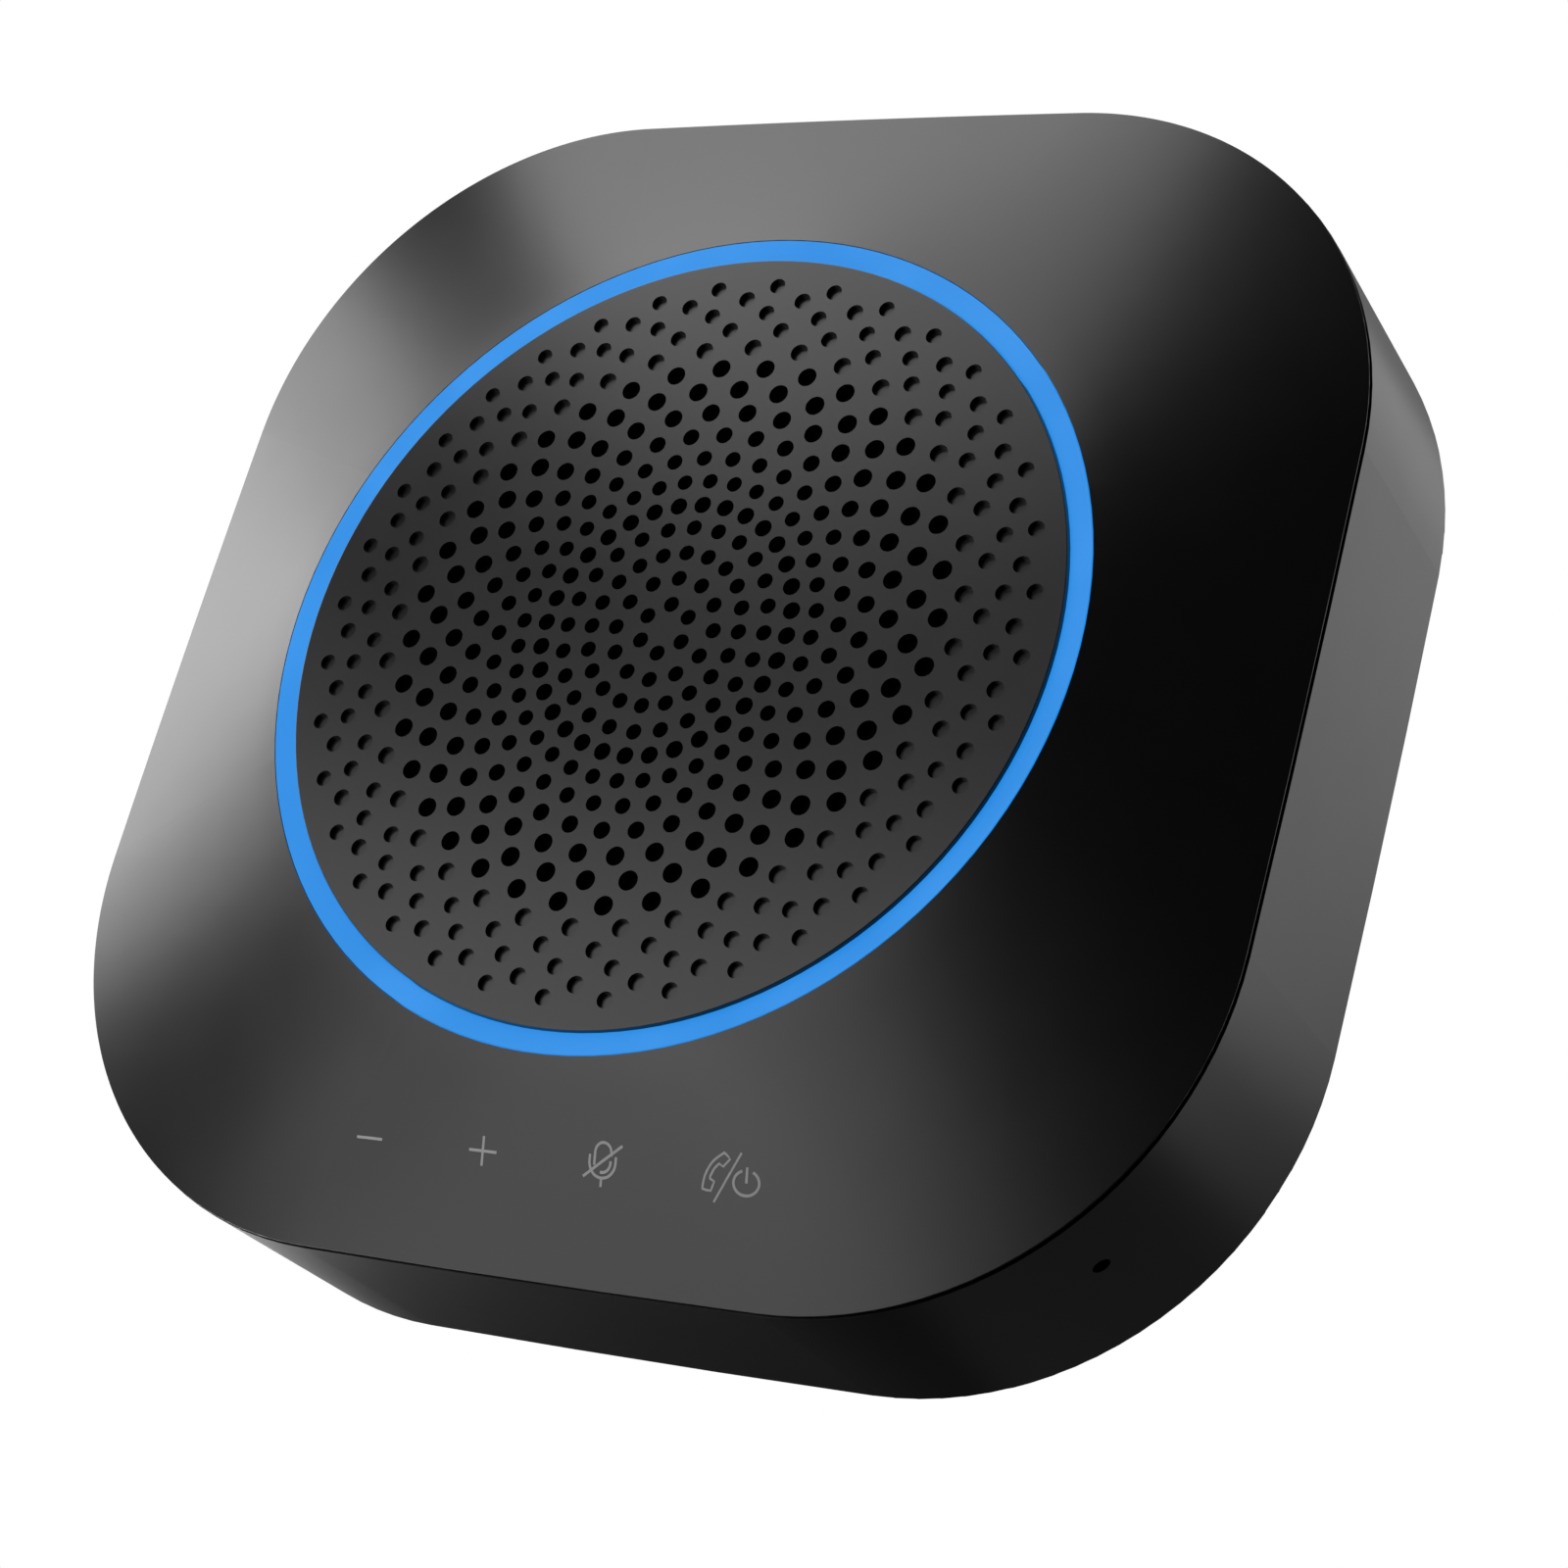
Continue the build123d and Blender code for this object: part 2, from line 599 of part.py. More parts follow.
LEDGE_Z = 19.0
SEAT_Z = 16.0
TERMINAL_T = 1.0
with BuildPart() as driver_basket:
    with BuildSketch(Plane.XZ):
        with BuildLine():
            Polyline(
                (FLANGE_R, FLANGE_BOTTOM),
                (FLANGE_R, FLANGE_TOP),
                (26.6, FLANGE_TOP),
                (26.4, 26.0),
                (20.9, 19.6),
                (20.9, LEDGE_Z),
                (19.2, LEDGE_Z),
                (19.2, YOKE_TOP),
                (YOKE_R + 0.05, YOKE_TOP),
                (YOKE_R + 0.05, SEAT_Z),
                (20.4, SEAT_Z),
                (22.1, 19.2),
                (27.6, 25.6),
                (27.6, FLANGE_BOTTOM),
                close=True,
            )
        make_face()
    revolve(axis=Axis.Z)
    with BuildSketch(Plane.XY.offset(LEDGE_Z + 1.2)):
        with PolarLocations(24.6, 6, start_angle=30):
            SlotOverall(14, 7, rotation=90)
    extrude(amount=4.4, mode=Mode.SUBTRACT)
    with BuildSketch(Plane.XY.offset(SEAT_Z)):
        with Locations((0, 22.3)):
            Rectangle(8, 4.6)
    extrude(amount=TERMINAL_T)
    with BuildSketch(Plane.XY.offset(FLANGE_BOTTOM)):
        with PolarLocations(FRAME_SCREW_R, 4, start_angle=45):
            Circle(FRAME_SCREW_HOLE_R)
    extrude(amount=FLANGE_TOP - FLANGE_BOTTOM, mode=Mode.SUBTRACT)
save(driver_basket, "driver_basket")

save(
    turned([
        (0, YOKE_BOTTOM),
        (YOKE_R, YOKE_BOTTOM),
        (YOKE_R, YOKE_TOP),
        (10.4, YOKE_TOP),
        (10.4, YOKE_BOTTOM + 2.2),
        (0, YOKE_BOTTOM + 2.2),
    ]),
    "magnet_yoke",
)

MAGNET_TOP = YOKE_BOTTOM + 5.2
with BuildPart() as driver_magnet:
    with BuildSketch(Plane.XY.offset(YOKE_BOTTOM + 2.2)):
        Circle(8.4)
    extrude(amount=MAGNET_TOP - YOKE_BOTTOM - 2.2)
    chamfer(driver_magnet.edges(), 0.25)
save(driver_magnet, "driver_magnet")

with BuildPart() as pole_plate:
    with BuildSketch(Plane.XY.offset(MAGNET_TOP)):
        Circle(8.8)
    extrude(amount=YOKE_TOP - MAGNET_TOP)
    chamfer(pole_plate.edges().group_by(Axis.Z)[-1], 0.2)
save(pole_plate, "pole_plate")

FORMER_BOTTOM = 14.6
FORMER_TOP = 21.2
save(ring(COIL_OUT_R, COIL_R, FORMER_BOTTOM, FORMER_TOP), "coil_former")
save(ring(COIL_OUT_R + WINDING_T, COIL_OUT_R, FORMER_BOTTOM + 0.1, FORMER_BOTTOM + 3.6), "coil_winding")

# The cone's front face rises from the former to the surround
CONE_NECK_Z = 21.2
CONE_SLOPE = (CONE_TOP - CONE_NECK_Z) / (CONE_R - COIL_OUT_R)
CONE_DROP = CONE_T * math.hypot(1, CONE_SLOPE)
save(
    turned([
        (COIL_OUT_R, CONE_NECK_Z),
        (CONE_R, CONE_TOP),
        (CONE_R, CONE_TOP - CONE_DROP),
        (COIL_OUT_R, CONE_NECK_Z - CONE_DROP),
    ]),
    "driver_cone",
)

CAP_R = 10.5
CAP_Z = CONE_NECK_Z + (CAP_R - COIL_OUT_R) * CONE_SLOPE + 0.05
CAP_H = 2.6
CAP_T = 0.4
with BuildPart() as dust_cap:
    with BuildSketch(Plane.XZ):
        with BuildLine():
            SagittaArc((CAP_R, CAP_Z), (-CAP_R, CAP_Z), -CAP_H)
            Line((-CAP_R, CAP_Z), (-CAP_R + CAP_T, CAP_Z))
            SagittaArc((CAP_R - CAP_T, CAP_Z), (-CAP_R + CAP_T, CAP_Z), -CAP_H + CAP_T)
            Line((CAP_R - CAP_T, CAP_Z), (CAP_R, CAP_Z))
        make_face()
        with Locations((-CAP_R, CAP_Z)):
            Rectangle(2 * CAP_R, 2 * CAP_R, mode=Mode.SUBTRACT)
    revolve(axis=Axis.Z)
save(dust_cap, "dust_cap")

ROLL_MID_R = 24.6
ROLL_R = 2.1
ROLL_T = 0.5
LAND_T = 0.4
LAND_OUT_R = 28.0
LAND_W = LAND_OUT_R - ROLL_MID_R - ROLL_R + 0.25
with BuildPart() as driver_surround:
    with BuildSketch(Plane.XZ):
        with Locations((ROLL_MID_R, FLANGE_TOP)):
            Circle(ROLL_R)
            Circle(ROLL_R - ROLL_T, mode=Mode.SUBTRACT)
        with Locations((ROLL_MID_R, FLANGE_TOP - ROLL_R)):
            Rectangle(3 * ROLL_R, 2 * ROLL_R, mode=Mode.SUBTRACT)
        with Locations((LAND_OUT_R - LAND_W / 2, FLANGE_TOP + LAND_T / 2)):
            Rectangle(LAND_W, LAND_T)
    revolve(axis=Axis.Z)
save(driver_surround, "driver_surround")

# Spider: three gentle waves between the coil former and the basket's ledge
SPIDER_IN_R = COIL_OUT_R + 0.15
SPIDER_OUT_R = 20.7
SPIDER_T = 0.35
WAVE = 0.35
wave_rs = [SPIDER_IN_R + 1.5 + 1.35 * step for step in range(6)]
spider_line = [(SPIDER_IN_R, LEDGE_Z)]
spider_line += [(radius, LEDGE_Z + (WAVE if step % 2 else -WAVE)) for step, radius in enumerate(wave_rs)]
spider_line += [(19.2, LEDGE_Z), (SPIDER_OUT_R, LEDGE_Z)]
save(
    turned(spider_line + [(radius, height + SPIDER_T) for radius, height in reversed(spider_line)]),
    "driver_spider",
)

save(
    joined([
        pan_screw(
            FRAME_SCREW_R * math.cos(math.radians(angle)),
            FRAME_SCREW_R * math.sin(math.radians(angle)),
            FLANGE_TOP, 1.0, 0.6, 0.45, 2.6, up=-1,
        )
        for angle in (45, 135, 225, 315)
    ]),
    "driver_screws",
)

LEAD_Y = 43.0
save(
    joined([
        wire(
            [(x, 24.6, TERMINAL_Z), (x, LEAD_Y, TERMINAL_Z), (x, LEAD_Y, BOARD_TOP + 3.0)],
            LEAD_R, 2.5,
        )
        for x in (-LEAD_X, LEAD_X)
    ]),
    "speaker_leads",
)

TINSEL_X = 2.6
TINSEL_END = (15.6, 23.75)
save(
    joined([
        wire(
            [
                (x, 24.0, SEAT_Z + TERMINAL_T),
                (x, 24.0, LEDGE_Z + 2.8),
                (x, TINSEL_END[0], LEDGE_Z + 2.8),
                (x, TINSEL_END[0], TINSEL_END[1]),
            ],
            0.25, 0.9,
        )
        for x in (-TINSEL_X, TINSEL_X)
    ]),
    "tinsel_leads",
)

# ---------------------------------------------------------------- main board

with BuildPart() as main_board:
    with BuildSketch(Plane.XY.offset(BOARD_BOTTOM)):
        with Locations((0, (BOARD_BACK - 48) / 2)):
            RectangleRounded(66, BOARD_BACK + 48, 2)
        with Locations((7, 0)):
            RectangleRounded(86, 66, 2)
        with Locations(*BOARD_SCREW_SPOTS):
            Circle(1.2, mode=Mode.SUBTRACT)
    extrude(amount=BOARD_T)
save(main_board, "main_board")

save(
    joined([pan_screw(x, y, BOARD_TOP, 1.9, 1.2, 0.95, 3.2, up=-1) for x, y in BOARD_SCREW_SPOTS]),
    "board_screws",
)

save(block((10, 10, 1.2), (0, 0, BOARD_TOP)), "audio_processor")
save(block((5, 5, 0.9), (-16, 12, BOARD_TOP)), "amplifier_chip")
save(block((6, 4, 0.9), (-18, -10, BOARD_TOP)), "charger_chip")

CAN = (16.0, 13.0, 2.0)
CAN_AT = (18.0, -14.0)
with BuildPart() as wireless_shield:
    with BuildSketch(Plane.XY.offset(BOARD_TOP)):
        with Locations(CAN_AT):
            RectangleRounded(CAN[0], CAN[1], 0.6)
    extrude(amount=CAN[2])
    fillet(wireless_shield.faces().sort_by(Axis.Z)[-1].edges(), 0.3)
    with BuildSketch(Plane.XY.offset(BOARD_TOP)):
        with Locations(CAN_AT):
            RectangleRounded(CAN[0] - 0.4, CAN[1] - 0.4, 0.4)
    extrude(amount=CAN[2] - 0.2, mode=Mode.SUBTRACT)
save(wireless_shield, "wireless_shield")
save(block((7, 7, 1.0), (CAN_AT[0], CAN_AT[1], BOARD_TOP)), "wireless_chip")

with BuildPart() as capacitors:
    with BuildSketch(Plane.XY.offset(BOARD_TOP)):
        with Locations((-12, 52), (-18, 52), (43, -20), (43, -12)):
            Circle(2.5)
    extrude(amount=5.4)
    fillet(capacitors.faces().filter_by(Plane.XY).group_by(Axis.Z)[-1].edges(), 0.4)
save(capacitors, "capacitors")

with BuildPart() as inductors:
    with BuildSketch(Plane.XY.offset(BOARD_TOP)):
        with Locations((-26, 0), (-26, 9), (20, 14)):
            RectangleRounded(5, 5, 0.8)
    extrude(amount=1.9)
    chamfer(inductors.faces().filter_by(Plane.XY).group_by(Axis.Z)[-1].edges(), 0.3)
save(inductors, "inductors")

CELL_PLUG = (-24.0, 34.6)
TOUCH_PLUG_Y = -45.4
LED_PLUG_Y = 48.0
MIC_CABLE_S = 49.0
PLUG_REACH = 2.7
MIC_CABLE_T = 6.5
MIC_CABLE_SIDE = {"back_right": 1, "back_left": -1, "front_left": 1, "front_right": -1}
plugs = [
    block((7, 4.5, 3.0), (0, LEAD_Y, BOARD_TOP)),
    block((5.5, 4.5, 3.0), (CELL_PLUG[0], CELL_PLUG[1], BOARD_TOP)),
    block((10, 3.2, 1.8), (0, TOUCH_PLUG_Y, BOARD_TOP)),
    block((9, 3.2, 1.8), (TAB_X, LED_PLUG_Y - 1.9, BOARD_TOP)),
]
for place, angle in CORNER_ANGLES.items():
    spot = Vector(MIC_CABLE_S - PLUG_REACH, MIC_CABLE_T * MIC_CABLE_SIDE[place]).rotate(Axis.Z, angle)
    plugs.append(block((3.6, 3.6, 2.0), (spot.X, spot.Y, BOARD_TOP)))
save(joined(plugs), "board_sockets")

with BuildPart() as cable_socket_shell:
    with BuildSketch(Plane.XZ.offset(-SOCKET_MOUTH_Y)):
        with Locations((0, SOCKET_Z)):
            RectangleRounded(SOCKET_SHELL[0], SOCKET_SHELL[2], SOCKET_SHELL[2] / 2 - 0.05)
    extrude(amount=SOCKET_SHELL[1])
    with BuildSketch(Plane.XZ.offset(-SOCKET_MOUTH_Y)):
        with Locations((0, SOCKET_Z)):
            RectangleRounded(SOCKET_SHELL[0] - 0.6, SOCKET_SHELL[2] - 0.6, SOCKET_SHELL[2] / 2 - 0.4)
    extrude(amount=SOCKET_SHELL[1] - 0.6, mode=Mode.SUBTRACT)
save(cable_socket_shell, "cable_socket_shell")

with BuildPart() as cable_socket_tongue:
    with BuildSketch(Plane.XZ.offset(-SOCKET_MOUTH_Y + SOCKET_SHELL[1] - 0.6)):
        with Locations((0, SOCKET_Z)):
            RectangleRounded(6.7, 0.7, 0.2)
    extrude(amount=-SOCKET_SHELL[1] + 1.6)
save(cable_socket_tongue, "cable_socket_tongue")

# ---------------------------------------------------------------- battery

with BuildPart() as battery_cell:
    with BuildSketch(Plane.XZ.offset(-CELL_L / 2)):
        with Locations((CELL_X, CELL_Z)):
            Circle(CELL_R)
    extrude(amount=CELL_L)
    fillet(battery_cell.edges(), 0.8)
save(battery_cell, "battery_cell")

with BuildPart() as battery_pad:
    with BuildSketch(Plane.XY.offset(FLOOR_TOP)):
        with Locations((CELL_X, 0)):
            Rectangle(12, 34)
    extrude(amount=1.8)
    with BuildSketch(Plane.XZ.offset(-CELL_L / 2)):
        with Locations((CELL_X, CELL_Z)):
            Circle(CELL_R)
    extrude(amount=CELL_L, mode=Mode.SUBTRACT)
save(battery_pad, "battery_pad")

CELL_LEAD_Y = CELL_L / 2 + 2.1
save(
    joined([
        wire(
            [
                (CELL_X, CELL_L / 2, height),
                (CELL_X, CELL_LEAD_Y, height),
                (plug_x, CELL_LEAD_Y, height),
                (plug_x, CELL_LEAD_Y, BOARD_TOP + 3.0),
            ],
            0.6, 1.5,
        )
        for height, plug_x in ((15.0, CELL_PLUG[0] + 1.2), (12.9, CELL_PLUG[0] - 1.2))
    ]),
    "battery_leads",
)

# ---------------------------------------------------------------- microphones

MIC_BOARD_OUT = 67.7
MIC_CABLE_Z = 6.6
MIC_BOOT_OUT = INNER_REACH - 0.25
mic_capsules = []
mic_cables = []
for place, angle in CORNER_ANGLES.items():
    with BuildPart() as mic_board:
        with BuildSketch(corner_plane(angle, MIC_BOARD_OUT, MIC_Z)):
            RectangleRounded(MIC_BOARD[0], MIC_BOARD[2], 0.6)
            Circle(0.4, mode=Mode.SUBTRACT)
        extrude(amount=-MIC_BOARD[1])
    save(mic_board, f"mic_board_{place}")
    with BuildPart() as mic_boot:
        with BuildSketch(corner_plane(angle, MIC_BOARD_OUT, MIC_Z)):
            Circle(3.0)
            Circle(MIC_HOLE_R, mode=Mode.SUBTRACT)
        extrude(amount=MIC_BOOT_OUT - MIC_BOARD_OUT)
    save(mic_boot, f"mic_boot_{place}")
    with BuildPart() as mic_capsule:
        with BuildSketch(corner_plane(angle, MIC_BOARD_OUT - MIC_BOARD[1], MIC_Z)):
            RectangleRounded(3.8, 3.0, 0.3)
        extrude(amount=-1.1)
    mic_capsules.append(mic_capsule)
    side = MIC_CABLE_SIDE[place]
    middle = MIC_BOARD_OUT - MIC_BOARD[1] / 2
    corners = [
        (middle, 3.0, MIC_Z - 4),
        (middle, 3.0, MIC_CABLE_Z),
        (59.0, MIC_CABLE_T, MIC_CABLE_Z),
        (MIC_CABLE_S, MIC_CABLE_T, MIC_CABLE_Z),
    ]
    route = [Vector(out, side * around, z).rotate(Axis.Z, angle) for out, around, z in corners]
    mic_cables.append(wire(route, 0.5, 2.0))
save(joined(mic_capsules), "mic_capsules")
save(joined(mic_cables), "mic_cables")

# ---------------------------------------------------------------- touch keys

# The board lies parallel to the front slope, far enough down to clear its bowed ends
TOUCH_DEPTH = 3.2
touch_share = (CASE_W / 2 + TOUCH_Y) / SLOPE_RUN
touch_surface = Plane(
    origin=(0, TOUCH_Y, RIM_TOP + SLOPE_RISE * touch_share),
    x_dir=(1, 0, 0),
    z_dir=(0, -math.sin(math.radians(SLOPE_ANGLE)), math.cos(math.radians(SLOPE_ANGLE))),
)
with BuildPart() as touch_board:
    with BuildSketch(touch_surface.offset(-TOUCH_DEPTH)):
        RectangleRounded(TOUCH_BOARD[0], TOUCH_BOARD[1], 1)
    extrude(amount=-TOUCH_BOARD[2])
save(touch_board, "touch_board")

with BuildPart() as touch_pads:
    with BuildSketch(touch_surface.offset(-TOUCH_DEPTH)):
        with Locations(*[(x, 0) for x in TOUCH_KEY_XS]):
            Circle(TOUCH_PAD_R)
    extrude(amount=2)
    add(cover_cavity.part, mode=Mode.INTERSECT)
save(touch_pads, "touch_pads")

TOUCH_CABLE_Y = -50.6
CABLE_Z = 6.3
CABLE_T = 0.3
touch_underside = touch_surface.offset(-TOUCH_DEPTH - TOUCH_BOARD[2]).origin
touch_cable_rise = (TOUCH_CABLE_Y - touch_underside.Y) * math.tan(math.radians(SLOPE_ANGLE))
touch_cable_top = touch_underside.Z + touch_cable_rise - 0.2
touch_cable_line = [
    (TOUCH_CABLE_Y, touch_cable_top),
    (TOUCH_CABLE_Y, CABLE_Z),
    (TOUCH_PLUG_Y - 1.6, CABLE_Z),
]
save(ribbon(touch_cable_line, 0, 8, CABLE_T, 1.2), "touch_cable")
led_cable_line = [(LED_PLUG_Y, BAFFLE_TOP), (LED_PLUG_Y, CABLE_Z), (LED_PLUG_Y - 0.3, CABLE_Z)]
save(ribbon(led_cable_line, TAB_X, 7, CABLE_T, 0.2), "led_cable")
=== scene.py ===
"""Looks for the conference speakerphone: finishes, printed key symbols, studio and camera."""

import json
import math

import bmesh
import bpy
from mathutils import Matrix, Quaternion, Vector
from mathutils.bvhtree import BVHTree


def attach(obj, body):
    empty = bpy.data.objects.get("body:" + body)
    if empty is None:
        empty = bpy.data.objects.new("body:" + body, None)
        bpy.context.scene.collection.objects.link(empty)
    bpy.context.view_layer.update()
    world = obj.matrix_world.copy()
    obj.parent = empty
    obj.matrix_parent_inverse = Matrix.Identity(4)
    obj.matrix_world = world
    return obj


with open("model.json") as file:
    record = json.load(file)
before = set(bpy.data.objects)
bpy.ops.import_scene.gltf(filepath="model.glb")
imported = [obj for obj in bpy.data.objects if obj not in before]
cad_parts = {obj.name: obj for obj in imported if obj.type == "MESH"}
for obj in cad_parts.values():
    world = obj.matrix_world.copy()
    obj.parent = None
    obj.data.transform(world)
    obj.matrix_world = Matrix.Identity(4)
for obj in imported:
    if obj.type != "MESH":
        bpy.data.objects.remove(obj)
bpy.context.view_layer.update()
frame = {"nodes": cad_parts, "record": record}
nodes = frame["nodes"]
record = frame["record"]

MM = 0.001

# ---------------------------------------------------------------- camera

# The photograph's view, with its angles in degrees
AIM = Vector((7.82, -8.44, 18.02)) * MM
CAMERA_DISTANCE = 347.5 * MM
CAMERA_AZIMUTH = 55.03
CAMERA_ELEVATION = 53.30
CAMERA_ROLL = -45.11
LENS_MM = 82.47
SENSOR_MM = 36.0
NEAR_CLIP = 0.01


def direction(azimuth, elevation):
    """A unit vector. Angles are in degrees, and azimuth turns from the front, -Y, towards +X."""
    azimuth, elevation = math.radians(azimuth), math.radians(elevation)
    return Vector((
        math.sin(azimuth) * math.cos(elevation),
        -math.cos(azimuth) * math.cos(elevation),
        math.sin(elevation),
    ))


def make_camera():
    """A camera that looks at AIM."""
    outward = direction(CAMERA_AZIMUTH, CAMERA_ELEVATION)
    data = bpy.data.cameras.new("camera")
    data.lens = LENS_MM
    data.sensor_width = SENSOR_MM
    data.clip_start = NEAR_CLIP
    camera = bpy.data.objects.new("camera", data)
    bpy.context.scene.collection.objects.link(camera)
    camera.location = AIM + outward * CAMERA_DISTANCE
    camera.rotation_mode = "QUATERNION"
    facing = (-outward).to_track_quat("-Z", "Y")
    camera.rotation_quaternion = facing @ Quaternion((0, 0, 1), math.radians(CAMERA_ROLL))
    bpy.context.scene.camera = camera


make_camera()

# ---------------------------------------------------------------- materials

# The housing plastic's colour and roughness
BLACK = (0.001, 0.001, 0.001)
SATIN = 0.29
# The cover's round opening, and the easing of the slope next to it, in millimetres
OPENING_R = 43.4
CROWN_EASE = 3.5
CROWN_DROP = 0.03
# A wave texture of scale 1 repeats after this distance
WAVE_PERIOD = 0.314
# A board's darker patches of solder mask, against the rest of it
DARK_PATCH = 0.85
# The light ring's glow changes slowly between these two
GLOW_DEEP = (0.006, 0.225, 0.70, 1.0)
GLOW_PALE = (0.018, 0.255, 0.75, 1.0)


class Finish:
    """A Principled material with fine grain and soft mottling of its gloss and colour."""

    def __init__(self, name, colour, roughness, **shader):
        self.name = name
        self.material = bpy.data.materials.new(name)
        self.material.use_nodes = True
        self.tree = self.material.node_tree
        self.shader = self.tree.nodes["Principled BSDF"]
        self.colour = (*colour, 1.0)
        self.shader.inputs["Base Color"].default_value = self.colour
        self.shader.inputs["Roughness"].default_value = roughness
        self.roughness = roughness
        self.bump = None
        for socket, value in shader.items():
            self.shader.inputs[socket.replace("_", " ")].default_value = value
        self.place = self.node("ShaderNodeTexCoord").outputs["Object"]

    def node(self, kind, **settings):
        made = self.tree.nodes.new(kind)
        for key, value in settings.items():
            setattr(made, key, value)
        return made

    def link(self, source, target):
        self.tree.links.new(source, target)

    def noise(self, size_mm, detail=2.0, rough=0.5):
        made = self.node("ShaderNodeTexNoise")
        made.inputs["Scale"].default_value = 1 / (size_mm * MM)
        made.inputs["Detail"].default_value = detail
        made.inputs["Roughness"].default_value = rough
        self.link(self.place, made.inputs["Vector"])
        return made.outputs["Fac"]

    def spread(self, source, low, high, from_low=0.3, from_high=0.7):
        """The source's range, which for noise is about 0.3 to 0.7, taken to low and high."""
        made = self.node("ShaderNodeMapRange")
        made.inputs["From Min"].default_value = from_low
        made.inputs["From Max"].default_value = from_high
        made.inputs["To Min"].default_value = low
        made.inputs["To Max"].default_value = high
        self.link(source, made.inputs["Value"])
        return made.outputs["Result"]

    def add_bump(self, height, depth_mm):
        made = self.node("ShaderNodeBump")
        made.inputs["Distance"].default_value = depth_mm * MM
        made.inputs["Strength"].default_value = 1.0
        self.link(height, made.inputs["Height"])
        if self.bump is not None:
            self.link(self.bump, made.inputs["Normal"])
        self.bump = made.outputs["Normal"]
        self.link(self.bump, self.shader.inputs["Normal"])
        return self

    def grain(self, size_mm, depth_mm, detail=2.0):
        """Fine roughness of the surface, as a bump."""
        return self.add_bump(self.noise(size_mm, detail), depth_mm)

    def mottle(self, size_mm, gloss, shade):
        """Slow changes of gloss and of colour, as a moulded or rolled surface has."""
        cloud = self.noise(size_mm, 4.0, 0.6)
        self.link(
            self.spread(cloud, self.roughness - gloss, self.roughness + gloss),
            self.shader.inputs["Roughness"],
        )
        self.tint(cloud, 1 - shade, 1 + shade)
        return self

    def tint(self, source, low, high):
        """The base colour times low to high, as the source goes."""
        factor = self.spread(source, low, high)
        mix = self.node("ShaderNodeMix", data_type="RGBA", blend_type="MULTIPLY")
        mix.inputs["Factor"].default_value = 1.0
        mix.inputs["A"].default_value = self.colour
        self.link(factor, mix.inputs["B"])
        self.link(mix.outputs["Result"], self.shader.inputs["Base Color"])
        return self

    def weave(self, pitch_mm, depth_mm):
        """Over-and-under threads along X and Y."""
        waves = []
        for direction in ("X", "Y"):
            wave = self.node("ShaderNodeTexWave", wave_type="BANDS", bands_direction=direction)
            wave.inputs["Scale"].default_value = WAVE_PERIOD / (pitch_mm * MM)
            wave.inputs["Distortion"].default_value = 0.4
            wave.inputs["Detail"].default_value = 1.0
            self.link(self.place, wave.inputs["Vector"])
            waves.append(wave.outputs["Fac"])
        cross = self.node("ShaderNodeMath", operation="MULTIPLY")
        self.link(waves[0], cross.inputs[0])
        self.link(waves[1], cross.inputs[1])
        self.tint(cross.outputs["Value"], 0.6, 1.3)
        return self.add_bump(cross.outputs["Value"], depth_mm)

    def traces(self, pitch_mm, colour):
        """Copper tracks showing through a board's solder mask."""
        brick = self.node("ShaderNodeTexBrick")
        brick.inputs["Scale"].default_value = 1 / (pitch_mm * MM)
        brick.inputs["Mortar Size"].default_value = 0.08
        brick.inputs["Brick Width"].default_value = 1.7
        brick.inputs["Row Height"].default_value = 0.6
        brick.inputs["Color1"].default_value = self.colour
        brick.inputs["Color2"].default_value = (*(c * DARK_PATCH for c in self.colour[:3]), 1.0)
        brick.inputs["Mortar"].default_value = (*colour, 1.0)
        self.link(self.place, brick.inputs["Vector"])
        self.link(brick.outputs["Color"], self.shader.inputs["Base Color"])
        return self.add_bump(brick.outputs["Fac"], 0.02)


def housing_plastic(name):
    """Satin black moulding: spark-eroded grain too fine to see as dots."""
    finish = Finish(name, BLACK, SATIN, Specular_IOR_Level=0.5)
    return finish.grain(0.12, 0.0006).mottle(9.0, 0.008, 0.10)


def soften_crown(finish):
    """The slope eases off over the last few millimetres before the light ring."""
    flat = finish.node("ShaderNodeVectorMath", operation="MULTIPLY")
    flat.inputs[1].default_value = (1.0, 1.0, 0.0)
    finish.link(finish.place, flat.inputs[0])
    radius = finish.node("ShaderNodeVectorMath", operation="LENGTH")
    finish.link(flat.outputs["Vector"], radius.inputs[0])
    near = finish.spread(
        radius.outputs["Value"], 1.0, 0.0, OPENING_R * MM, (OPENING_R + CROWN_EASE) * MM
    )
    square = finish.node("ShaderNodeMath", operation="MULTIPLY")
    finish.link(near, square.inputs[0])
    finish.link(near, square.inputs[1])
    drop = finish.node("ShaderNodeMath", operation="MULTIPLY")
    drop.inputs[1].default_value = -1.0
    finish.link(square.outputs["Value"], drop.inputs[0])
    return finish.add_bump(drop.outputs["Value"], CROWN_DROP)


def plain_plastic(name, colour, roughness=0.45):
    return Finish(name, colour, roughness).grain(0.3, 0.01).mottle(6.0, 0.05, 0.1)


def metal(name, colour, roughness, size_mm=1.5):
    finish = Finish(name, colour, roughness, Metallic=1.0)
    return finish.grain(0.2, 0.004).mottle(size_mm, 0.08, 0.12)


def board(name, colour, trace):
    finish = Finish(name, colour, 0.32, Coat_Weight=0.3)
    return finish.mottle(3.0, 0.04, 0.05).traces(1.6, trace)


